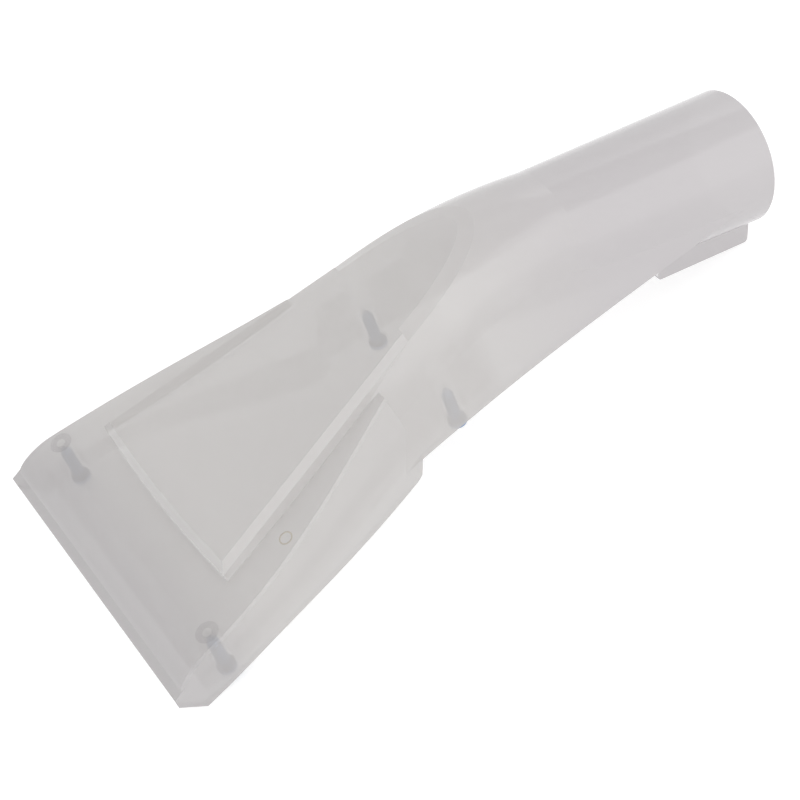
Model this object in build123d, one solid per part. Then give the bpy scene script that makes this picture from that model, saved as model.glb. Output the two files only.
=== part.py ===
"""Clear wet suction nozzle: a hood with a round hose socket, a floor tray and four screws."""
import math
import os

from build123d import *

# Hose socket: a slightly tapered tube that drops backwards from the hood
SOCKET_D = 38.0
SOCKET_BORE = 35.0
SOCKET_SEAT = 25.0
SOCKET_TAPER = 1.0
SOCKET_DROP = 15.1
SOCKET_BACK = 207.7
SOCKET_LEAD = 0.6
SOCKET_BEVEL = 0.4

# Mouldings
WALL = 1.8
TRAY_WALL = 1.8
FIT = 0.25

# Head seen from above: widths, places along it and how far the side lines turn out
LIP_W = 94.8
SHOULDER_W = 92.4
SHOULDER_Y = 13.0
WING_REAR_W = 46.6
WING_REAR_Y = 87.0
WING_LEAN = 4.0
WING_FLARE = 20.0
SHOULDER_FLARE = 8.0

# Head seen from the side, heights over the parting plane
LIP_Y = -0.7
LIP_Z = 5.9
LIP_LOW_Z = 3.2
LIP_LAND = 2.4
LIP_RISE = 1.2
NOSE_Z = 12.6
FLANGE_MID_Y = 45.5
FLANGE_MID_Z = 17.4
FLANGE_REAR_Z = 26.2
WING_FRONT_Y = 5.4
WING_FRONT_DROP = 3.4
WING_ARCH_Y = 29.0
WING_ARCH_DROP = 1.5
WING_REAR_DROP = 6.4
WING_REAR_ROUND = 5.0
EDGE_BEVEL = 0.6

# How steeply the head's lines leave lip, nose, wing end, heel and front, as rise over run
LIP_STEEP = 2.0
LIP_PULL = 0.8
NOSE_STEEP = 0.09
WING_STEEP = 0.27
HEEL_STEEP = 0.045
FRONT_STEEP = 0.14

# Raised panel on the head
PANEL_FRONT_Y = 26.0
PANEL_FRONT_W = 66.0
PANEL_BOW = 1.2
PANEL_REAR_Y = 96.0
PANEL_REAR_W = 36.6
PANEL_Z = 18.6
PANEL_SLOPE = 12.0
PANEL_BEVEL = 1.8

# Neck: y, half width at the rim, half width and height where the roof springs, height of the crown
NECK_SECTIONS = (
    (196.0, 18.6, 18.2, 3.2, 21.6),
    (165.0, 19.6, 17.6, 11.5, 28.6),
    (130.0, 21.0, 18.7, 20.0, 39.6),
    (100.0, 23.5, 22.0, 19.0, 41.2),
    (78.0, 26.2, 24.0, 15.0, 40.0),
)
ARCH_BEVEL = 2.2
SOCKET_FRONT_Y = 115.0

# Guide rails under the socket's mouth
RAIL_X = 9.3
RAIL_T = 2.0
RAIL_LEN = 31.0
RAIL_DEPTH = 4.4
RAIL_ROUND = 1.2

# Floor tray
TRAY_Z = -1.0
TRAY_FRONT_Y = 7.0
TRAY_LIP_Z = 3.4
TRAY_SIDE_Z = 8.0
TRAY_NECK_Y = 88.0
TRAY_NECK_Z = 21.0

# Screws and their bosses
SCREW_D = 2.9
SCREW_LEN = 12.0
SCREW_TIP = 2.0
SCREW_POINT_D = 0.7
HEAD_D = 5.2
HEAD_H = 1.8
HEAD_BEVEL = 0.6
CROSS_W = 0.9
CROSS_LEN = 3.0
CROSS_DEPTH = 1.1
BOSS_D = 6.2
SCREW_HOLE_GAP = 0.4
FRONT_BOSS_Y = 14.8
FRONT_BOSS_INSET = 5.0
REAR_BOSS_INSET = 4.0

# Sizes that follow from the others
REACH = 400.0
ARCH_Y = NECK_SECTIONS[2][0]
REAR_BOSS_Y, REAR_RIM = NECK_SECTIONS[3][:2]
BOSS_SPOTS = (
    (SHOULDER_W / 2 - FRONT_BOSS_INSET, FRONT_BOSS_Y),
    (REAR_RIM - REAR_BOSS_INSET, REAR_BOSS_Y),
)
TRAY_TOP = TRAY_Z + TRAY_WALL
TRAY_REAR_Y = SOCKET_FRONT_Y - FIT
SOCKET_R = SOCKET_D / 2
BORE_R = SOCKET_BORE / 2
SOCKET_LEN = (SOCKET_BACK - PANEL_REAR_Y + SOCKET_R / 2) / math.cos(math.radians(SOCKET_DROP))
PILOT_DEPTH = SCREW_LEN - TRAY_WALL + FIT


def slab(y0, y1, z0, z1):
    """Wide block across the part between two stations and two heights."""
    return Pos(0, (y0 + y1) / 2, (z0 + z1) / 2) * Box(REACH, y1 - y0, z1 - z0)


def side_solid(edges):
    """Solid across the part from a closed outline drawn in y and z."""
    return Pos(-REACH / 2, 0, 0) * extrude(make_face(edges), REACH, dir=(1, 0, 0))


def plan_solid(edges, low, high):
    """Upright solid from a closed outline drawn in x and y."""
    return Pos(0, 0, low) * extrude(make_face(edges), high - low, dir=(0, 0, 1))


def below_panel(inset):
    """Everything under the raised panel's plane, moved down by a wall."""
    top = Plane((0, PANEL_FRONT_Y, PANEL_Z - inset), x_dir=(1, 0, 0),
                z_dir=(0, -math.sin(math.radians(PANEL_SLOPE)), math.cos(math.radians(PANEL_SLOPE))))
    return top * Pos(0, 0, -REACH / 2) * Box(2 * REACH, 2 * REACH, REACH)


def head_plan(inset):
    """Closed outline of the flared head from above."""
    lip = LIP_W / 2 - inset
    shoulder = SHOULDER_W / 2 - inset
    rear = WING_REAR_W / 2 - inset
    flare = math.radians(WING_FLARE)
    front_flare = math.radians(SHOULDER_FLARE)
    right = Spline(
        (rear, WING_REAR_Y, 0), (shoulder, SHOULDER_Y, 0),
        tangents=[(math.sin(flare), -math.cos(flare), 0), (math.sin(front_flare), -math.cos(front_flare), 0)],
    )
    edge = Line((shoulder, SHOULDER_Y, 0), (lip, LIP_Y, 0))
    return [right, edge, Line((lip, LIP_Y, 0), (-lip, LIP_Y, 0)), mirror(edge, Plane.YZ),
            mirror(right, Plane.YZ), Line((-rear, WING_REAR_Y, 0), (rear, WING_REAR_Y, 0))]


def head_top(inset):
    """Top line of the head in y and z, from the lip back to the wing's end."""
    land = (0, LIP_Y + LIP_LAND, LIP_Z + LIP_RISE - inset)
    nose = (0, SHOULDER_Y, NOSE_Z - inset)
    middle = (0, FLANGE_MID_Y, FLANGE_MID_Z - inset)
    rear = (0, WING_REAR_Y - WING_LEAN, FLANGE_REAR_Z - inset)
    level_off = (0, 1, NOSE_STEEP)
    return [
        Line((0, LIP_Y, LIP_Z - inset), land),
        Spline(land, nose, tangents=[(0, 1, LIP_STEEP), level_off], tangent_scalars=[LIP_PULL, 1]),
        Spline(nose, middle, rear, tangents=[level_off, (0, 1, WING_STEEP)]),
    ]


def head(inset):
    """Flared head. The outside has its own lower edge, an inset one is open below."""
    plan = plan_solid(head_plan(inset), -REACH / 4, REACH / 4)
    top = head_top(inset)
    lip = (0, LIP_Y, LIP_Z - inset)
    rear = (0, WING_REAR_Y - WING_LEAN, FLANGE_REAR_Z - inset)
    if inset:
        low = -REACH / 8
        lower = Polyline(rear, (0, WING_REAR_Y, low), (0, LIP_Y, low), lip)
        return plan & side_solid([*top, *lower.edges()])
    rim_low = (LIP_Z + NOSE_Z) / 2
    r, bulge = WING_REAR_ROUND, WING_REAR_ROUND * math.sqrt(0.5)
    heel = (0, WING_REAR_Y, r - WING_REAR_DROP)
    heel_mid = (0, WING_REAR_Y - r + bulge, r - bulge - WING_REAR_DROP)
    heel_end = (0, WING_REAR_Y - r, -WING_REAR_DROP)
    front_low = (0, WING_FRONT_Y, -WING_FRONT_DROP)
    lower = [
        Line(rear, heel),
        ThreePointArc(heel, heel_mid, heel_end),
        Spline(heel_end, (0, WING_ARCH_Y, -WING_ARCH_DROP), front_low,
               tangents=[(0, -1, HEEL_STEEP), (0, -1, -FRONT_STEEP)]),
        *Polyline(front_low, (0, LIP_Y, LIP_LOW_Z), lip).edges(),
    ]
    block = plan & side_solid([*top, *lower])
    sides = [edge for edge in block.edges() if abs(edge.center().X) > WING_REAR_W / 2]
    rim = [edge for edge in sides if edge.center().Z > rim_low and edge.center().Y < rear[1]]
    return chamfer(rim, EDGE_BEVEL)


def panel(inset):
    """Raised panel over the head. The outside has a bevelled upper edge."""
    front = PANEL_FRONT_W / 2 - inset
    rear = PANEL_REAR_W / 2 - inset
    y0 = PANEL_FRONT_Y + inset
    edges = [
        ThreePointArc((-front, y0, 0), (0, y0 - PANEL_BOW, 0), (front, y0, 0)),
        Line((front, y0, 0), (rear, PANEL_REAR_Y, 0)),
        Line((rear, PANEL_REAR_Y, 0), (-rear, PANEL_REAR_Y, 0)),
        Line((-rear, PANEL_REAR_Y, 0), (-front, y0, 0)),
    ]
    block = plan_solid(edges, TRAY_TOP, REACH / 4) & below_panel(inset)
    if inset:
        return block
    rear_top = block.edges().filter_by(Axis.X).sort_by(Axis.Z)[-1]
    rim = [edge for edge in block.faces().sort_by(Axis.Z)[-1].edges() if edge.center() != rear_top.center()]
    return chamfer(rim, PANEL_BEVEL)


def neck_section(y, rim, spring, spring_z, crown, inset):
    """One arched section of the neck, standing on the parting plane."""
    low = -REACH / 8 if inset else 0.0
    plane = Plane((0, y, 0), x_dir=(1, 0, 0), z_dir=(0, -1, 0))
    w, s, h = rim - inset, spring - inset, crown - spring_z - inset
    arch = EllipticalCenterArc((0, spring_z), s, h, arc_size=180)
    low_w = w + (w - s) * -low / spring_z
    outline = [arch, *Polyline((-s, spring_z), (-low_w, low), (low_w, low), (s, spring_z)).edges()]
    return plane * make_face(outline)


def neck(inset):
    """Arched neck between the socket and the head."""
    return loft([neck_section(*row, inset) for row in NECK_SECTIONS])


def neck_outside():
    """Neck cut off by the panel's plane, with the arch that this leaves bevelled."""
    block = neck(0) & below_panel(0)
    cut = block.faces().filter_by(GeomType.PLANE).sort_by(Axis.Z)[-1]
    return chamfer(cut.edges().filter_by(GeomType.LINE, reverse=True), ARCH_BEVEL)


def socket_axis(depth):
    """Work plane across the socket at a depth inside its mouth, facing forwards along the axis."""
    drop = math.radians(SOCKET_DROP)
    ahead = Vector(0, -math.cos(drop), math.sin(drop))
    return Plane(Vector(0, SOCKET_BACK, 0) + ahead * depth, x_dir=(1, 0, 0), z_dir=ahead)


def socket_cone(length):
    """Tapered outside of the socket from the mouth forwards."""
    small = SOCKET_R - length * math.tan(math.radians(SOCKET_TAPER))
    cone = Cone(SOCKET_R, small, length)
    return socket_axis(length / 2) * chamfer(cone.edges().sort_by(Axis.Z)[:1], SOCKET_BEVEL)


def socket_bore(length):
    """Room inside the socket: a short lead-in, a straight seat for the hose end, then a taper."""
    seat = socket_axis(SOCKET_SEAT / 2) * Cylinder(BORE_R, SOCKET_SEAT)
    seat += socket_axis(SOCKET_LEAD / 2) * Cone(BORE_R + SOCKET_LEAD, BORE_R, SOCKET_LEAD)
    rest = length - SOCKET_SEAT
    small = BORE_R - length * math.tan(math.radians(SOCKET_TAPER))
    return seat + socket_axis(SOCKET_SEAT + rest / 2) * Cone(BORE_R, small, rest)


def socket_rails():
    """Pair of guide rails along the bottom of the socket's mouth."""
    tilt = Pos(0, SOCKET_BACK, 0) * Rot(X=-SOCKET_DROP)
    low = -(SOCKET_R + RAIL_DEPTH)
    rail = Pos(RAIL_X - RAIL_T / 2, -RAIL_LEN / 2, low / 2) * Box(RAIL_T, RAIL_LEN, -low)
    ends = rail.edges().filter_by(Axis.X).group_by(Axis.Z)[0]
    rail = tilt * fillet(ends, RAIL_ROUND)
    return rail + mirror(rail, Plane.YZ)


def boss_bars(diameter, low, high):
    """Upright round bars at the four screw places."""
    spots = [(sx * x, y) for x, y in BOSS_SPOTS for sx in (1, -1)]
    return [Pos(x, y, (low + high) / 2) * Cylinder(diameter / 2, high - low) for x, y in spots]


def build_hood():
    """Upper moulding: flared head, raised panel, neck, socket, rails and screw bosses."""
    cone = socket_cone(SOCKET_LEN)
    bore = socket_bore(SOCKET_LEN) & below_panel(WALL)
    tube = cone & slab(ARCH_Y, SOCKET_BACK + SOCKET_D, -SOCKET_D, REACH / 4)
    outside = (head(0) & below_panel(0)) + neck_outside() + tube + panel(0)
    hollow = (head(WALL) + neck(WALL)) & below_panel(WALL)
    hollow += panel(WALL)
    pipe = cone & slab(SOCKET_FRONT_Y, SOCKET_BACK + SOCKET_D, -SOCKET_D, REACH / 4)
    hood = outside - (hollow - pipe) + socket_rails()
    for bar in boss_bars(BOSS_D, TRAY_TOP, REACH / 8):
        hood += bar & outside
    hood -= bore
    for hole in boss_bars(SCREW_D + 2 * FIT, TRAY_TOP, TRAY_TOP + PILOT_DEPTH):
        hood -= hole
    return hood


def tray_limit():
    """Side outline of the floor tray with its walls rising towards the neck."""
    return side_solid(Polyline(
        (0, TRAY_FRONT_Y, TRAY_Z), (0, TRAY_REAR_Y, TRAY_Z), (0, TRAY_REAR_Y, TRAY_NECK_Z),
        (0, TRAY_NECK_Y, TRAY_NECK_Z), (0, WING_REAR_Y - WALL - FIT, TRAY_SIDE_Z),
        (0, TRAY_FRONT_Y, TRAY_LIP_Z), (0, TRAY_FRONT_Y, TRAY_Z)).edges())


def build_tray():
    """Lower moulding: floor plate with walls that stand inside the hood."""
    gap = WALL + FIT
    deep = gap + TRAY_WALL
    outside = (head(gap) + neck(gap)) & tray_limit()
    room = (head(deep) + neck(deep)) & slab(
        TRAY_FRONT_Y + TRAY_WALL, TRAY_REAR_Y - TRAY_WALL, TRAY_TOP, REACH / 4)
    tray = outside - room
    tray -= socket_bore(SOCKET_LEN)
    for bar in boss_bars(BOSS_D + 2 * FIT, TRAY_TOP, REACH / 8):
        tray -= bar
    for hole in boss_bars(SCREW_D + SCREW_HOLE_GAP, TRAY_Z - TRAY_WALL, TRAY_TOP + TRAY_WALL):
        tray -= hole
    return tray


def build_screw():
    """Pan head screw, head downwards, with its seat at height zero."""
    shank = SCREW_LEN - SCREW_TIP
    body = Pos(0, 0, shank / 2) * Cylinder(SCREW_D / 2, shank)
    body += Pos(0, 0, shank + SCREW_TIP / 2) * Cone(SCREW_D / 2, SCREW_POINT_D / 2, SCREW_TIP)
    cap = Pos(0, 0, -HEAD_H / 2) * Cylinder(HEAD_D / 2, HEAD_H)
    cap = chamfer(cap.edges().sort_by(Axis.Z)[:1], HEAD_BEVEL)
    screw = body + cap
    for turn in (0, 90):
        screw -= Pos(0, 0, -HEAD_H + CROSS_DEPTH / 2) * Rot(Z=turn) * Box(CROSS_LEN, CROSS_W, CROSS_DEPTH)
    return screw


def main():
    """Build every piece, lay the part down as it rests and write the files."""
    hood = build_hood()
    tray = build_tray()
    screw = build_screw()
    screws = [[Pos(sx * x, y, TRAY_Z) * screw for sx in (1, -1)] for x, y in BOSS_SPOTS]
    low_y = SOCKET_BACK - (SOCKET_R + RAIL_DEPTH) * math.sin(math.radians(SOCKET_DROP))
    low_z = -(SOCKET_R + RAIL_DEPTH) * math.cos(math.radians(SOCKET_DROP))
    lean = math.degrees(math.atan2(-WING_FRONT_DROP - low_z, low_y - WING_FRONT_Y))
    lay = Rot(X=lean)
    box = (lay * hood).bounding_box()
    place = Pos(0, -box.center().Y, -box.min.Z) * lay
    pieces = {"hood": hood, "floor_tray": tray}
    for name, pair in zip(("front_screws", "rear_screws"), screws):
        pieces[name] = Compound(children=pair)
    os.makedirs("parts", exist_ok=True)
    for name, shape in pieces.items():
        export_step(place * shape, f"parts/{name}.step")


if __name__ == "__main__":
    main()
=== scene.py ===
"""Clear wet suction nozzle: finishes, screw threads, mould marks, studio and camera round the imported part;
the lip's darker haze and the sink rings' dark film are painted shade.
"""
import logging
import math
from dataclasses import dataclass
from enum import Enum

import bmesh
import bpy
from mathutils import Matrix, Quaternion, Vector
from mathutils.bvhtree import BVHTree


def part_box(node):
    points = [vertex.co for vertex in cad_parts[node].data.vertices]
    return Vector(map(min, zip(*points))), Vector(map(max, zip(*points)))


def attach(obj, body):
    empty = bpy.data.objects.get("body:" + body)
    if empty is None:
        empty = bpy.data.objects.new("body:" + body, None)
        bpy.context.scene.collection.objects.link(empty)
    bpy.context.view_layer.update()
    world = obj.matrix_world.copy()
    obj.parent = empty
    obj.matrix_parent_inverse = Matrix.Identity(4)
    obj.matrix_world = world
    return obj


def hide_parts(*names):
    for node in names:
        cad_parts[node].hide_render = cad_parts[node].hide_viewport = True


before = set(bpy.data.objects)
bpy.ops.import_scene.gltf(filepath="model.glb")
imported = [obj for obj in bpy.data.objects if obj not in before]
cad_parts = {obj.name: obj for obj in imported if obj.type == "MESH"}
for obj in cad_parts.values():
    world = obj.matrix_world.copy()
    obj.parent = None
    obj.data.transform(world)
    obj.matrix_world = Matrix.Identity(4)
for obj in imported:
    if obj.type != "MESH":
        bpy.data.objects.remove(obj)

Colour = tuple[float, float, float]
Point = tuple[float, float, float]
Span = tuple[float, float]
Socket = bpy.types.NodeSocket

MM = 0.001
BODY = "root"
MOULDINGS = ("hood", "floor_tray")
FRONT_SCREWS = "front_screws"
REAR_SCREWS = "rear_screws"
PRINCIPLED = "Principled BSDF"
log = logging.getLogger("nozzle")

# Mesh layers: the marks of inner and edge faces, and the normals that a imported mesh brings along.
INNER = "inner_face"
NARROW = "narrow_face"
OLD_NORMALS = "custom_normal"

# Corners of a mesh that are nearer than this are one corner.
WELD = 1e-7

# A point under the round pin mark beside the panel.
PIN_SPOT = Vector((34.8, -62.9, 25.2)) * MM

# Places along the part at which a change of the plastic's look starts and ends. From the lip to the head the
# change is painted shade: the haze is painted darker at the front.
LIP_TO_HEAD: Span = (-108 * MM, -72 * MM)
HEAD_TO_TUBE: Span = (-10 * MM, 60 * MM)
STEP_FRONT: Span = (-103 * MM, -99 * MM)
STEP_BACK: Span = (-66 * MM, -72 * MM)

# Noise of made surfaces.
NOISE_MEAN = 0.5
GLOSS_DETAIL = 3.0
RIPPLE_SCALE = 18.0
RIPPLE_DETAIL = 1.0

# Thread: points in a turn, sides of its profile, and how steeply it grows from its two ends.
TURN_POINTS = 24
CREST_SIDES = 4
RUN_OUT = 12.0

# Mould ring: points round it, and how far above its spot the search for the surface starts.
RING_POINTS = 40
DROP = 50 * MM


class Slot(Enum):
    """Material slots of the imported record."""

    CLEAR = "clear_plastic"
    STEEL = "screw_steel"


@dataclass(frozen=True)
class ClearFinish:
    """Clear moulded plastic with a faint grey haze, painted darker at the lip as painted shade.

    Attributes:
        name: Material name.
        lip_painted_shade_colour: Haze at the lip, painted darker there as painted shade of the front.
        head_colour: Haze of the wide head.
        tube_colour: Haze of the hose socket.
        head_film: How solid an outer face of the head looks straight on.
        tube_film: How solid an outer face of the socket looks straight on.
        inner_film: How solid an inner face of the head looks straight on.
        bore_film: How solid the inside of the socket looks straight on.
        edge_film: How solid an outer face looks edge-on.
        inner_edge_film: How solid an inner face looks edge-on.
        step_film: How solid the panel's front step looks edge-on.
        edge_blend: How far the edge-on look spreads.
        glow_through: Share of the haze that passes light on instead of holding it back.
        refraction: Index of refraction, which sets the gloss.
        roughness: Mean surface roughness.
        unevenness: How much the roughness varies.
        grain: How fine that variation is.
        ripple: Strength of the flow ripple in the surface.
    """

    name: str
    lip_painted_shade_colour: Colour
    head_colour: Colour
    tube_colour: Colour
    head_film: float
    tube_film: float
    inner_film: float = 0.06
    bore_film: float = 0.35
    edge_film: float = 0.95
    inner_edge_film: float = 0.22
    step_film: float = 0.5
    edge_blend: float = 0.3
    glow_through: float = 0.7
    refraction: float = 1.49
    roughness: float = 0.07
    unevenness: float = 0.03
    grain: float = 60.0
    ripple: float = 0.03


@dataclass(frozen=True)
class MarkAndShadeFinish:
    """A moulding mark that shows as a thin shade on the plastic; the sink rings' dark film is painted shade.

    Attributes:
        name: Material name.
        colour: Base colour.
        film: How solid it looks.
        roughness: Surface roughness.
    """

    name: str
    colour: Colour
    film: float
    roughness: float = 0.2


@dataclass(frozen=True)
class SteelFinish:
    """Dull zinc-plated screw steel.

    Attributes:
        name: Material name.
        colour: Base colour.
        roughness: Mean surface roughness.
        unevenness: How much the roughness varies.
        grain: How fine that variation is.
    """

    name: str
    colour: Colour
    roughness: float = 0.38
    unevenness: float = 0.2
    grain: float = 900.0


# The darker lip colours of both finishes are painted shade at the front of the part.
HOOD_CLEAR = ClearFinish(
    name="hood_clear",
    lip_painted_shade_colour=(0.43, 0.41, 0.415),
    head_colour=(0.545, 0.525, 0.515),
    tube_colour=(0.555, 0.532, 0.542),
    head_film=0.80,
    tube_film=0.97,
)
TRAY_CLEAR = ClearFinish(
    name="tray_clear",
    lip_painted_shade_colour=(0.54, 0.52, 0.525),
    head_colour=(0.57, 0.55, 0.54),
    tube_colour=(0.57, 0.55, 0.54),
    head_film=0.25,
    tube_film=0.25,
    inner_film=0.25,
    bore_film=0.25,
)
# Painted shade: dark grey film on the sink rings above the front screw bosses.
RING_PAINTED_SHADE = MarkAndShadeFinish(name="ring_mark", colour=(0.40, 0.39, 0.39), film=0.11)
PIN_MARK = MarkAndShadeFinish(name="pin_mark", colour=(0.68, 0.63, 0.54), film=0.6)
ZINC = SteelFinish(name="zinc_steel", colour=(0.27, 0.36, 0.50))


class NodeTree:
    """Small helper that adds and links nodes in one tree."""

    def __init__(self, tree: bpy.types.NodeTree) -> None:
        """Wrap an existing tree.

        Args:
            tree: Shader or geometry tree.
        """
        self.tree = tree

    def fill(self, node: bpy.types.Node, inputs: dict[int | str, object]) -> bpy.types.Node:
        """Feed some inputs of a node.

        Args:
            node: The node.
            inputs: Input name or number to output socket or plain value.

        Returns:
            The same node.
        """
        for key, value in inputs.items():
            if isinstance(value, Socket):
                self.tree.links.new(value, node.inputs[key])
            else:
                node.inputs[key].default_value = value
        return node

    def add(self, kind: str, inputs: dict[int | str, object] | None = None,
            **values: object) -> bpy.types.Node:
        """Add a node, set its properties and feed its inputs.

        Args:
            kind: Blender's node type name.
            inputs: Input name or number to output socket or plain value.
            **values: Properties of the node.

        Returns:
            The new node.
        """
        node = self.tree.nodes.new(kind)
        for key, value in values.items():
            setattr(node, key, value)
        return self.fill(node, inputs or {})

    def math(self, operation: str, a: Socket | float, b: Socket | float) -> Socket:
        """Add a math node.

        Args:
            operation: Name of the operation.
            a: Socket or number.
            b: Socket or number.

        Returns:
            The node's output.
        """
        return self.add("ShaderNodeMath", {0: a, 1: b}, operation=operation).outputs[0]

    def vector_math(self, operation: str, *values: Socket | Point) -> bpy.types.Node:
        """Add a vector math node.

        Args:
            operation: Name of the operation.
            *values: Sockets or vectors.

        Returns:
            The node.
        """
        return self.add("ShaderNodeVectorMath", dict(enumerate(values)), operation=operation)

    def remap(self, value: Socket, low: Socket | float = 0.0, high: Socket | float = 1.0,
              ends: Span = (0.0, 1.0), soft: bool = False) -> Socket:
        """Turn a value into one that goes from low to high.

        Args:
            value: The value.
            low: Socket or number to start from.
            high: Socket or number to reach.
            ends: Values at which the change starts and ends.
            soft: Whether the change starts and ends gently.

        Returns:
            The node's output.
        """
        start, end = ends
        node = self.add(
            "ShaderNodeMapRange",
            {"Value": value, "From Min": start, "From Max": end, "To Min": low, "To Max": high},
            interpolation_type="SMOOTHSTEP" if soft else "LINEAR",
        )
        return node.outputs["Result"]

    def blend(self, factor: Socket, start: Socket | tuple, end: Socket | tuple) -> Socket:
        """Mix two colours.

        Args:
            factor: Share of the second colour.
            start: Socket or colour with alpha.
            end: Socket or colour with alpha.

        Returns:
            The mixed colour.
        """
        node = self.add("ShaderNodeMix", {"Factor": factor, "A": start, "B": end}, data_type="RGBA")
        return node.outputs["Result"]


def new_group(kind: str, name: str, inputs: dict[str, str], outputs: dict[str, str]) -> NodeTree:
    """Make an empty node group with named sockets.

    Args:
        kind: Blender's tree type name.
        name: Group name.
        inputs: Socket name to its type.
        outputs: Socket name to its type.

    Returns:
        The group's tree.
    """
    group = bpy.data.node_groups.new(name, kind)
    for side, sockets in (("INPUT", inputs), ("OUTPUT", outputs)):
        for key, socket_kind in sockets.items():
            group.interface.new_socket(key, in_out=side, socket_type=f"NodeSocket{socket_kind}")
    return NodeTree(group)


def new_material(name: str) -> tuple[bpy.types.Material, NodeTree]:
    """Make a material with nodes.

    Args:
        name: Its name.

    Returns:
        The material, and its tree with Blender's first Principled shader.
    """
    material = bpy.data.materials.new(name)
    material.use_nodes = True
    return material, NodeTree(material.node_tree)


def mould_surface_group() -> bpy.types.NodeTree:
    """Build the shared effect of made surfaces: uneven gloss and a soft flow ripple.

    Returns:
        The shader node group.
    """
    net = new_group(
        "ShaderNodeTree", "MouldSurface",
        {"Roughness": "Float", "Unevenness": "Float", "Scale": "Float"},
        {"Roughness": "Float", "Height": "Float"},
    )
    given = net.add("NodeGroupInput").outputs
    place = net.add("ShaderNodeTexCoord").outputs["Object"]
    gloss = net.add("ShaderNodeTexNoise", {"Vector": place, "Scale": given["Scale"], "Detail": GLOSS_DETAIL})
    from_mean = net.math("SUBTRACT", gloss.outputs["Fac"], NOISE_MEAN)
    uneven = net.math("MULTIPLY", from_mean, given["Unevenness"])
    flow = net.add("ShaderNodeTexNoise", {"Vector": place, "Scale": RIPPLE_SCALE, "Detail": RIPPLE_DETAIL})
    net.add("NodeGroupOutput", {
        "Roughness": net.math("ADD", given["Roughness"], uneven), "Height": flow.outputs["Fac"]})
    return net.tree


def haze_with_painted_shade(net: NodeTree, finish: ClearFinish, along: Socket, in_tube: Socket) -> Socket:
    """Shade the haze from the lip over the head to the hose socket; the darker lip is painted shade.

    Args:
        net: The material's tree.
        finish: The plastic's values.
        along: Place along the part.
        in_tube: Mask of the hose socket.

    Returns:
        The colour.
    """
    # Painted shade: the haze is darker towards the lip.
    in_head = net.remap(along, ends=LIP_TO_HEAD, soft=True)
    front = net.blend(in_head, (*finish.lip_painted_shade_colour, 1), (*finish.head_colour, 1))
    return net.blend(in_tube, front, (*finish.tube_colour, 1))


def film_alpha(net: NodeTree, finish: ClearFinish, along: Socket, in_tube: Socket) -> Socket:
    """Work out how solid the plastic looks: more so edge-on, less so inside and where light passes.

    Args:
        net: The material's tree.
        finish: The plastic's values.
        along: Place along the part.
        in_tube: Mask of the hose socket.

    Returns:
        The alpha value.
    """
    inner = net.add("ShaderNodeAttribute", attribute_name=INNER).outputs["Fac"]
    narrow = net.add("ShaderNodeAttribute", attribute_name=NARROW).outputs["Fac"]
    outer_film = net.remap(in_tube, finish.head_film, finish.tube_film)
    inner_film = net.remap(in_tube, finish.inner_film, finish.bore_film)
    straight_on = net.remap(inner, outer_film, inner_film)
    behind_lip = net.math("MULTIPLY", narrow, net.remap(along, ends=STEP_FRONT, soft=True))
    at_step = net.math("MULTIPLY", behind_lip, net.remap(along, ends=STEP_BACK, soft=True))
    outer_edge = net.remap(at_step, finish.edge_film, finish.step_film)
    edge_on = net.remap(inner, outer_edge, finish.inner_edge_film)
    facing = net.add("ShaderNodeLayerWeight", {"Blend": finish.edge_blend}).outputs["Facing"]
    solid = net.remap(facing, straight_on, edge_on)
    rays = net.add("ShaderNodeLightPath").outputs
    lit_through = net.math("MAXIMUM", rays["Is Shadow Ray"], rays["Is Diffuse Ray"])
    turned_away = net.add("ShaderNodeNewGeometry").outputs["Backfacing"]
    held_back = 1 - finish.glow_through
    kept = net.math(
        "MINIMUM", net.remap(lit_through, 1.0, held_back), net.remap(turned_away, 1.0, held_back))
    return net.math("MULTIPLY", solid, kept)


def clear_material(finish: ClearFinish, surface: bpy.types.NodeTree) -> bpy.types.Material:
    """Make the clear plastic material.

    Args:
        finish: Its values.
        surface: The shared surface group.

    Returns:
        The material.
    """
    material, net = new_material(finish.name)
    place = net.add("ShaderNodeTexCoord").outputs["Object"]
    along = net.add("ShaderNodeSeparateXYZ", {"Vector": place}).outputs["Y"]
    in_tube = net.remap(along, ends=HEAD_TO_TUBE, soft=True)
    mould = net.add("ShaderNodeGroup", node_tree=surface)
    net.fill(mould, {"Roughness": finish.roughness, "Unevenness": finish.unevenness, "Scale": finish.grain})
    bump = net.add("ShaderNodeBump", {
        "Strength": finish.ripple, "Distance": MM, "Height": mould.outputs["Height"]})
    net.fill(net.tree.nodes[PRINCIPLED], {
        "Base Color": haze_with_painted_shade(net, finish, along, in_tube),
        "IOR": finish.refraction,
        "Roughness": mould.outputs["Roughness"],
        "Normal": bump.outputs["Normal"],
        "Alpha": film_alpha(net, finish, along, in_tube),
    })
    return material


def mark_and_shade_material(finish: MarkAndShadeFinish) -> bpy.types.Material:
    """Make the material of moulding marks and of the sink rings' painted shade.

    Args:
        finish: Its values.

    Returns:
        The material.
    """
    material, net = new_material(finish.name)
    net.fill(net.tree.nodes[PRINCIPLED], {
        "Base Color": (*finish.colour, 1), "Roughness": finish.roughness, "Alpha": finish.film})
    return material


def steel_material(finish: SteelFinish, surface: bpy.types.NodeTree) -> bpy.types.Material:
    """Make the zinc-plated steel material.

    Args:
        finish: Its values.
        surface: The shared surface group, used here for uneven plating.

    Returns:
        The material.
    """
    material, net = new_material(finish.name)
    plating = net.add("ShaderNodeGroup", node_tree=surface)
    net.fill(plating, {"Roughness": finish.roughness, "Unevenness": finish.unevenness, "Scale": finish.grain})
    net.fill(net.tree.nodes[PRINCIPLED], {
        "Base Color": (*finish.colour, 1), "Roughness": plating.outputs["Roughness"], "Metallic": 1.0})
    return material


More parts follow.
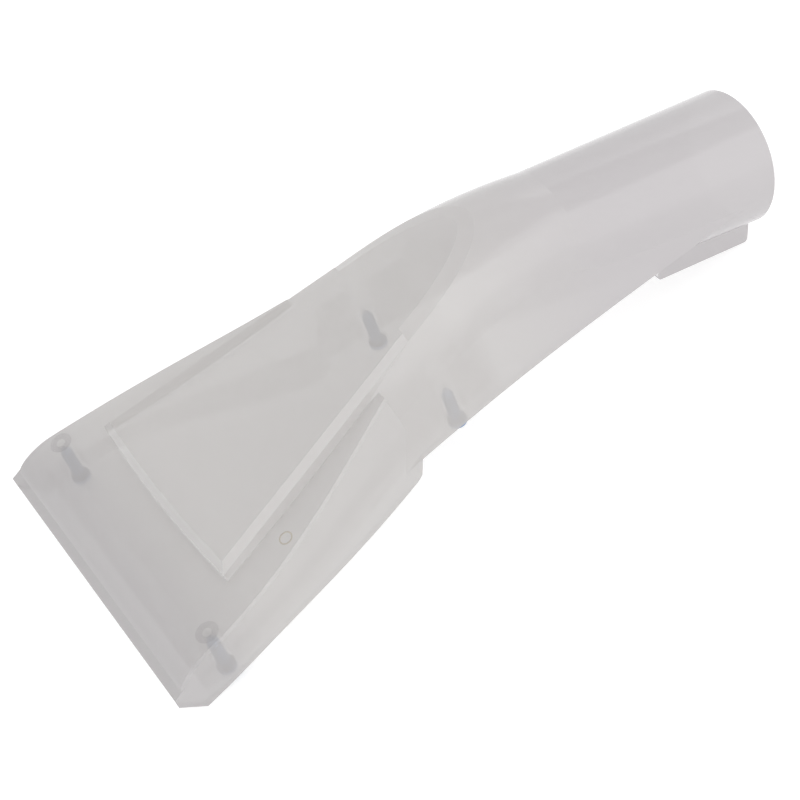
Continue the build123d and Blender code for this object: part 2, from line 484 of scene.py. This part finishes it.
def grown(name: str, spots: list[Vector], tree: bpy.types.NodeTree,
          values: dict[str, object]) -> bpy.types.Object:
    """Run a geometry tree on a few points and keep the mesh that it makes.

    Args:
        name: Name of the new piece.
        spots: The points.
        tree: Geometry node tree.
        values: Input name to value.

    Returns:
        The new piece, linked to the scene.
    """
    seed = bpy.data.meshes.new(f"{name}_spots")
    seed.from_pydata([tuple(spot) for spot in spots], [], [])
    carrier = bpy.data.objects.new(f"{name}_carrier", seed)
    bpy.context.scene.collection.objects.link(carrier)
    grower = carrier.modifiers.new("grow", "NODES")
    grower.node_group = tree
    for socket in tree.interface.items_tree:
        if socket.in_out == "INPUT" and socket.name in values:
            grower[socket.identifier] = values[socket.name]
    graph = bpy.context.evaluated_depsgraph_get()
    mesh = bpy.data.meshes.new_from_object(carrier.evaluated_get(graph))
    carrier.modifiers.remove(grower)
    bpy.data.objects.remove(carrier)
    mesh.name = name
    piece = bpy.data.objects.new(name, mesh)
    bpy.context.scene.collection.objects.link(piece)
    return piece


def end_with_copies(net: NodeTree, points: Socket, shape: Socket, turn: Socket, material: Socket) -> None:
    """End a geometry tree with a real copy of a shape on each point.

    Args:
        net: The tree.
        points: The points.
        shape: Mesh to copy.
        turn: Rotation of the copies.
        material: Their material.
    """
    each = net.add("GeometryNodeInstanceOnPoints", {"Points": points, "Instance": shape, "Rotation": turn})
    solid = net.add("GeometryNodeRealizeInstances", {"Geometry": each.outputs["Instances"]})
    painted = net.add("GeometryNodeSetMaterial", {
        "Geometry": solid.outputs["Geometry"], "Material": material})
    net.add("NodeGroupOutput", {"Geometry": painted.outputs["Geometry"]})


def thread_tree() -> bpy.types.NodeTree:
    """Build the tree that winds a thread round the screw at each point.

    Returns:
        The geometry node tree, with the inputs Turns, Radius, Crest, Height, Tilt and Material.
    """
    net = new_group(
        "GeometryNodeTree", "ScrewThread",
        {"Geometry": "Geometry", "Turns": "Float", "Radius": "Float", "Crest": "Float", "Height": "Float",
         "Tilt": "Vector", "Material": "Material"},
        {"Geometry": "Geometry"},
    )
    given = net.add("NodeGroupInput").outputs
    helix = net.add("GeometryNodeCurveSpiral", {
        "Resolution": TURN_POINTS, "Rotations": given["Turns"], "Start Radius": given["Radius"],
        "End Radius": given["Radius"], "Height": given["Height"]})
    along = net.add("GeometryNodeSplineParameter").outputs["Factor"]
    to_end = net.math("MINIMUM", along, net.math("SUBTRACT", 1.0, along))
    run_out = net.math("MINIMUM", net.math("MULTIPLY", to_end, RUN_OUT), 1.0)
    thinned = net.add("GeometryNodeSetCurveRadius", {"Curve": helix.outputs["Curve"], "Radius": run_out})
    profile = net.add("GeometryNodeCurvePrimitiveCircle", {
        "Resolution": CREST_SIDES, "Radius": given["Crest"]})
    ridge = net.add("GeometryNodeCurveToMesh", {
        "Curve": thinned.outputs["Curve"], "Profile Curve": profile.outputs["Curve"], "Fill Caps": True})
    end_with_copies(net, given["Geometry"], ridge.outputs["Mesh"], given["Tilt"], given["Material"])
    return net.tree


def mould_ring_tree() -> bpy.types.NodeTree:
    """Build the tree that lays a shallow ring on the surface above each point.

    Returns:
        The geometry node tree, with the inputs Surface, Up, Inner, Outer, Height and Material.
    """
    net = new_group(
        "GeometryNodeTree", "MouldRing",
        {"Geometry": "Geometry", "Surface": "Object", "Up": "Vector", "Inner": "Float", "Outer": "Float",
         "Height": "Float", "Material": "Material"},
        {"Geometry": "Geometry"},
    )
    given = net.add("NodeGroupInput").outputs
    roof = net.add("GeometryNodeObjectInfo", {"Object": given["Surface"]}, transform_space="RELATIVE")
    spot = net.add("GeometryNodeInputPosition").outputs["Position"]
    above = net.vector_math("MULTIPLY_ADD", given["Up"], (DROP, DROP, DROP), spot)
    down = net.vector_math("MULTIPLY", given["Up"], (-1, -1, -1))
    drop = net.add("GeometryNodeRaycast", {
        "Target Geometry": roof.outputs["Geometry"], "Source Position": above.outputs["Vector"],
        "Ray Direction": down.outputs["Vector"], "Ray Length": 2 * DROP})
    landed = net.add("GeometryNodeSetPosition", {
        "Geometry": given["Geometry"], "Position": drop.outputs["Hit Position"]})
    turn = net.add("FunctionNodeAlignRotationToVector", {"Vector": drop.outputs["Hit Normal"]}, axis="Z")
    width = net.math("SUBTRACT", given["Outer"], given["Inner"])
    middle = net.math("MULTIPLY", net.math("ADD", given["Outer"], given["Inner"]), 0.5)
    circle = net.add("GeometryNodeCurvePrimitiveCircle", {"Resolution": RING_POINTS, "Radius": middle})
    profile = net.add("GeometryNodeCurvePrimitiveQuadrilateral", {"Width": width, "Height": given["Height"]})
    ring = net.add("GeometryNodeCurveToMesh", {
        "Curve": circle.outputs["Curve"], "Profile Curve": profile.outputs["Curve"]})
    end_with_copies(
        net, landed.outputs["Geometry"], ring.outputs["Mesh"], turn.outputs["Rotation"], given["Material"])
    return net.tree


@dataclass
class Moulding:
    """One clear moulding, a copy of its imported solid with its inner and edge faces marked.

    Attributes:
        node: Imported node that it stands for.
        shelter: A face that has a wall this near in front of it is an inner one.
        off_face: How far off a face the look for such a wall starts.
        narrow: Widest edge face.
        long: Shortest edge face.
    """

    node: str
    shelter: float = 150 * MM
    off_face: float = 0.05 * MM
    narrow: float = 5 * MM
    long: float = 12 * MM

    @staticmethod
    def patches(work: bmesh.types.BMesh) -> list[list[bmesh.types.BMFace]]:
        """Gather the facets of each face of the solid, which share no corners with other faces.

        Args:
            work: The moulding.

        Returns:
            The facets, face by face.
        """
        found, left = [], set(work.faces)
        while left:
            patch, todo = [], [left.pop()]
            while todo:
                face = todo.pop()
                patch.append(face)
                beside = {other for edge in face.edges for other in edge.link_faces} & left
                left -= beside
                todo.extend(beside)
            found.append(patch)
        return found

    def is_inner(self, patch: list[bmesh.types.BMFace], walls: BVHTree) -> bool:
        """Tell whether most of a face looks at another wall of the part.

        Args:
            patch: The face's facets.
            walls: All mouldings.

        Returns:
            True for an inner face.
        """
        balance = 0.0
        for face in patch:
            start = face.calc_center_median() + face.normal * self.off_face
            seen = walls.ray_cast(start, face.normal, self.shelter)[0]
            balance += face.calc_area() * (-1 if seen is None else 1)
        return balance > 0

    def is_narrow(self, patch: list[bmesh.types.BMFace]) -> bool:
        """Tell whether a face is long and narrow, as bevels and rims are.

        Args:
            patch: The face's facets.

        Returns:
            True for an edge face.
        """
        rim = sum(edge.calc_length() for face in patch for edge in face.edges if edge.is_boundary)
        area = sum(face.calc_area() for face in patch)
        return rim / 2 > self.long and 2 * area / rim < self.narrow

    def mark(self, mesh: bpy.types.Mesh, walls: BVHTree) -> None:
        """Weld the mesh, keep the borders of its faces sharp and store which are inner or edge faces.

        Args:
            mesh: The moulding.
            walls: All mouldings.
        """
        work = bmesh.new()
        work.from_mesh(mesh)
        number = work.faces.layers.int.new("number")
        inner = work.faces.layers.float.new(INNER)
        narrow = work.faces.layers.float.new(NARROW)
        for count, patch in enumerate(self.patches(work)):
            hidden = self.is_inner(patch, walls)
            edge_face = self.is_narrow(patch) and not hidden
            for face in patch:
                face[number], face[inner], face[narrow] = count, float(hidden), float(edge_face)
                face.smooth = True
        bmesh.ops.remove_doubles(work, verts=work.verts, dist=WELD)
        for edge in work.edges:
            edge.smooth = len({face[number] for face in edge.link_faces}) == 1
        work.faces.layers.int.remove(number)
        work.to_mesh(mesh)
        work.free()
        mesh.attributes.remove(mesh.attributes[OLD_NORMALS])

    def build(self, material: bpy.types.Material, walls: BVHTree) -> bpy.types.Object:
        """Copy the solid, mark its faces and let it stand for its node.

        Args:
            material: Its plastic.
            walls: All mouldings.

        Returns:
            The new piece.
        """
        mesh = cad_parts[self.node].data.copy()
        mesh.name = f"{self.node}_clear"
        self.mark(mesh, walls)
        mesh.materials.clear()
        mesh.materials.append(material)
        piece = bpy.data.objects.new(mesh.name, mesh)
        bpy.context.scene.collection.objects.link(piece)
        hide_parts(self.node)
        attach(piece, BODY)
        return piece


@dataclass
class ScrewPair:
    """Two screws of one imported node, one on each side of the part.

    Attributes:
        node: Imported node.
        core: Radius of the shank.
        crest: Height of the thread over the shank.
        pitch: Distance between turns.
        clear_tip: Bare length below the point.
        length: Threaded length.
        tip_depth: Depth of the slice that is taken for the point.
    """

    node: str
    core: float = 1.45 * MM
    crest: float = 0.22 * MM
    pitch: float = 1.25 * MM
    clear_tip: float = 2.0 * MM
    length: float = 7.8 * MM
    tip_depth: float = 0.05 * MM

    def tips(self, axis: Vector) -> list[Vector]:
        """Find the points of the two screws.

        Args:
            axis: Direction in which the screws point.

        Returns:
            The middle of each point.
        """
        found = []
        for side in (1, -1):
            corners = [v.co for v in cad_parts[self.node].data.vertices if v.co.x * side > 0]
            top = max(corner.dot(axis) for corner in corners)
            ends = [corner for corner in corners if corner.dot(axis) > top - self.tip_depth]
            found.append(sum(ends, Vector()) / len(ends))
        return found

    def build(self, axis: Vector, tree: bpy.types.NodeTree, material: bpy.types.Material) -> bpy.types.Object:
        """Dress the screws in steel and wind their threads.

        Args:
            axis: Direction in which the screws point.
            tree: Geometry tree of the thread.
            material: The steel.

        Returns:
            The threads.
        """
        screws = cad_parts[self.node].data
        screws.materials.clear()
        screws.materials.append(material)
        starts = [tip - axis * (self.clear_tip + self.length) for tip in self.tips(axis)]
        tilt = axis.to_track_quat("Z", "Y").to_euler()
        threads = grown(f"{self.node}_threads", starts, tree, {
            "Turns": self.length / self.pitch, "Radius": self.core, "Crest": self.crest,
            "Height": self.length, "Tilt": tilt, "Material": material})
        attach(threads, BODY)
        return threads


@dataclass
class MouldRings:
    """Shallow rings that moulding left on the hood, such as those above the front screw bosses, which carry a
    dark film of painted shade.

    Attributes:
        name: Name of the piece.
        inner: Inner radius.
        outer: Outer radius.
        height: Thickness of the ring.
    """

    name: str
    inner: float
    outer: float
    height: float

    def build(self, spots: list[Vector], axis: Vector, hood: bpy.types.Object,
              tree: bpy.types.NodeTree, material: bpy.types.Material) -> bpy.types.Object:
        """Lay the rings on the hood.

        Args:
            spots: Points under the rings.
            axis: Direction from those points to the hood's top.
            hood: The piece that carries them.
            tree: Geometry tree of the ring.
            material: The plastic.

        Returns:
            The rings.
        """
        rings = grown(self.name, spots, tree, {
            "Surface": hood, "Up": axis, "Inner": self.inner, "Outer": self.outer,
            "Height": self.height, "Material": material})
        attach(rings, BODY)
        return rings


@dataclass(frozen=True)
class Softbox:
    """A soft oblong lamp that faces the part and that reflections don't show.

    Attributes:
        name: Lamp name.
        place: Its position.
        sides: Its width and height.
        power: Its power in watts.
    """

    name: str
    place: Point
    sides: Span
    power: float

    def build(self) -> None:
        """Hang the lamp."""
        data = bpy.data.lights.new(self.name, "AREA")
        data.shape = "RECTANGLE"
        data.size, data.size_y = self.sides
        data.energy = self.power
        lamp = bpy.data.objects.new(self.name, data)
        lamp.location = self.place
        lamp.visible_glossy = False
        lamp.rotation_mode = "QUATERNION"
        lamp.rotation_quaternion = (-Vector(self.place)).to_track_quat("-Z", "Y")
        bpy.context.scene.collection.objects.link(lamp)


@dataclass
class Studio:
    """Floor, light and camera.

    Attributes:
        eye: Camera position.
        gaze: Direction in which the camera looks.
        roll_deg: Turn of the camera about its line of sight.
        lens_px: Focal length in pixels of the picture.
        picture_px: Width of the picture.
        sight: Nearest and farthest distance that the camera sees.
        floor_size: Side of the floor.
        floor_shade: Grey of the floor.
        floor_lift: Light added to the floor where the camera sees it.
        ambient: Strength of the surrounding light.
        ceiling_from: Height of a direction from which reflections show the ceiling, 1 straight up.
        ceiling_fade: Half the width of the ceiling's border.
        ceiling_dim: How much darker the ceiling is in reflections.
        bright_wall: Direction of the bright wall behind the part.
        wall_fade: How nearly a direction agrees with it where the wall starts and where it is brightest.
        wall_glow: How much brighter that wall is in reflections.
        softboxes: The lamps.
        clear_layers: Clear faces that a line of sight may pass.
    """

    eye: Point = (0.36208, -0.15517, 0.39758)
    gaze: Point = (-0.6566, 0.2620, -0.70725)
    roll_deg: float = 15.3
    lens_px: float = 2079.4
    picture_px: float = 800.0
    sight: Span = (0.01, 50.0)
    floor_size: float = 6.0
    floor_shade: float = 0.8
    floor_lift: float = 0.4
    ambient: float = 0.82
    ceiling_from: float = 0.7
    ceiling_fade: float = 0.02
    ceiling_dim: float = 0.45
    bright_wall: Point = (0.5, 0.87, 0.0)
    wall_fade: Span = (0.2, 0.4)
    wall_glow: float = 0.55
    softboxes: tuple[Softbox, ...] = (
        Softbox("top_softbox", place=(-0.2, 0.1, 1.5), sides=(1.6, 1.6), power=2.7),
        Softbox("side_softbox", place=(1.4, 0.25, 0.4), sides=(1.2, 0.8), power=5.5),
    )
    clear_layers: int = 48

    def camera(self) -> None:
        """Place the camera at the picture's viewing angle."""
        data = bpy.data.cameras.new("camera")
        data.lens = self.lens_px / self.picture_px * data.sensor_width
        data.clip_start, data.clip_end = self.sight
        camera = bpy.data.objects.new("camera", data)
        level = Vector(self.gaze).to_track_quat("-Z", "Y")
        camera.rotation_mode = "QUATERNION"
        camera.rotation_quaternion = level @ Quaternion((0, 0, 1), math.radians(-self.roll_deg))
        camera.location = self.eye
        bpy.context.scene.collection.objects.link(camera)
        bpy.context.scene.camera = camera

    @staticmethod
    def seen_directly(net: NodeTree) -> Socket:
        """Mask of the rays that show the background: camera, mirror and see-through rays.

        Args:
            net: Tree in which the nodes are made.

        Returns:
            A value of one for those rays.
        """
        rays = net.add("ShaderNodeLightPath").outputs
        seen = net.math("MAXIMUM", rays["Is Camera Ray"], rays["Is Glossy Ray"])
        return net.math("MAXIMUM", seen, rays["Is Transmission Ray"])

    def floor(self) -> None:
        """Lay a pale floor that shows white and keeps the shadow."""
        half = self.floor_size / 2
        mesh = bpy.data.meshes.new("floor")
        corners = [(-half, -half, 0), (half, -half, 0), (half, half, 0), (-half, half, 0)]
        mesh.from_pydata(corners, [], [(0, 1, 2, 3)])
        floor = bpy.data.objects.new("floor", mesh)
        bpy.context.scene.collection.objects.link(floor)
        material, net = new_material("pale_floor")
        net.tree.nodes.clear()
        shade = self.floor_shade
        paint = net.add("ShaderNodeBsdfDiffuse", {"Color": (shade, shade, shade, 1)})
        lift = net.math("MULTIPLY", self.seen_directly(net), self.floor_lift)
        glow = net.add("ShaderNodeEmission", {"Strength": lift})
        both = net.add("ShaderNodeAddShader", {0: paint.outputs["BSDF"], 1: glow.outputs["Emission"]})
        net.add("ShaderNodeOutputMaterial", {"Surface": both.outputs["Shader"]})
        mesh.materials.append(material)

    def world(self) -> None:
        """Surround the part with even light that looks white, and mirror a dim ceiling and a bright wall."""
        world = bpy.data.worlds.new("studio")
        world.use_nodes = True
        bpy.context.scene.world = world
        net = NodeTree(world.node_tree)
        lift = net.math("MULTIPLY", self.seen_directly(net), 1 - self.ambient)
        way = net.add("ShaderNodeTexCoord").outputs["Generated"]
        height = net.add("ShaderNodeSeparateXYZ", {"Vector": way}).outputs["Z"]
        ahead = net.vector_math("DOT_PRODUCT", way, self.bright_wall).outputs["Value"]
        wall = net.remap(ahead, 0.0, self.wall_glow, self.wall_fade)
        border = (self.ceiling_from - self.ceiling_fade, self.ceiling_from + self.ceiling_fade)
        room = net.remap(height, wall, -self.ceiling_dim, border)
        mirrored = net.math("MULTIPLY", room, net.add("ShaderNodeLightPath").outputs["Is Glossy Ray"])
        even = net.math("ADD", lift, self.ambient)
        net.fill(net.tree.nodes["Background"], {
            "Color": (1, 1, 1, 1), "Strength": net.math("ADD", even, mirrored)})

    def build(self) -> None:
        """Make the whole studio."""
        self.camera()
        self.floor()
        self.world()
        for softbox in self.softboxes:
            softbox.build()
        bpy.context.scene.view_settings.view_transform = "Standard"
        bpy.context.scene.cycles.transparent_max_bounces = self.clear_layers


def all_walls() -> BVHTree:
    """Collect the faces of both mouldings.

    Returns:
        A tree for ray casts.
    """
    both = bmesh.new()
    for name in MOULDINGS:
        both.from_mesh(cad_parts[name].data)
    walls = BVHTree.FromBMesh(both)
    both.free()
    return walls


def screw_axis() -> Vector:
    """Find the direction in which the screws point, square to the line between the two pairs.

    Returns:
        A unit vector.
    """
    front, rear = (sum((Vector(corner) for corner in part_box(name)), Vector()) / 2
                   for name in (FRONT_SCREWS, REAR_SCREWS))
    back = rear - front
    return Vector((0, -back.z, back.y)).normalized()


def main() -> None:
    """Build the finishes, the pieces and the studio."""
    logging.basicConfig(level=logging.INFO, format="%(name)s: %(message)s")
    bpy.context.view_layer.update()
    surface = mould_surface_group()
    steel = steel_material(ZINC, surface)
    walls = all_walls()
    hood, tray = (Moulding(node).build(clear_material(finish, surface), walls)
                  for node, finish in zip(MOULDINGS, (HOOD_CLEAR, TRAY_CLEAR)))
    axis = screw_axis()
    threads = thread_tree()
    front = ScrewPair(FRONT_SCREWS)
    pieces = [hood, tray, *(pair.build(axis, threads, steel) for pair in (front, ScrewPair(REAR_SCREWS)))]
    rings = mould_ring_tree()
    # The sink rings are a dark film of painted shade laid over the hood.
    sink_rings = MouldRings("sink_rings", inner=1.25 * MM, outer=3.05 * MM, height=0.1 * MM)
    pin_mark = MouldRings("pin_mark", inner=1.45 * MM, outer=1.85 * MM, height=0.03 * MM)
    for marks, spots, finish in ((sink_rings, front.tips(axis), RING_PAINTED_SHADE), (pin_mark, [PIN_SPOT], PIN_MARK)):
        pieces.append(marks.build(spots, axis, hood, rings, mark_and_shade_material(finish)))
    for piece in pieces:
        log.info("%s: %d faces", piece.name, len(piece.data.polygons))
    Studio().build()


if __name__ == "__main__":
    main()
